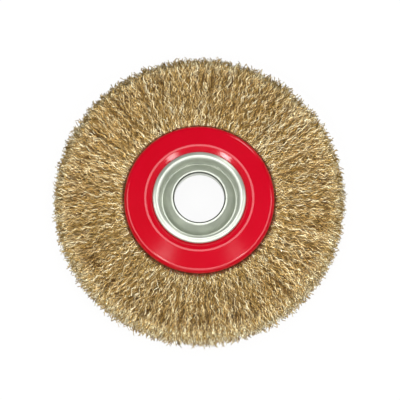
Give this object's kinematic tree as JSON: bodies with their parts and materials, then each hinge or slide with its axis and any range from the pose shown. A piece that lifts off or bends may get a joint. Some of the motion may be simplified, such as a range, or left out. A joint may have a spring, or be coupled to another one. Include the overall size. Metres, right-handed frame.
{
  "type": "wire wheel brush",
  "caption": "Crimped wire wheel: a dense disc of wavy brass-coated wires held between two red pressed covers on a zinc-plated eyelet hub with a reduced bore",
  "frame": {"origin": "on the wheel's axis, at the middle of its thickness", "axes": "+Z along the axis, out of the side with the reducer ring; X and Y across the wheel"},
  "size_m": [0.1792, 0.1792, 0.0256],
  "materials": {
    "red_paint": "gloss",
    "zinc_plate": "satin plated",
    "plain_steel": "drawn wire",
    "coated_wire": "brass-coated steel wire"
  },
  "bodies": {
    "root": {"front_cover": "red_paint", "rear_cover": "red_paint", "hub_eyelet": "zinc_plate", "reducer_ring": "zinc_plate", "retaining_ring": "plain_steel", "wire_fill": "coated_wire"}
  },
  "joints": []
}
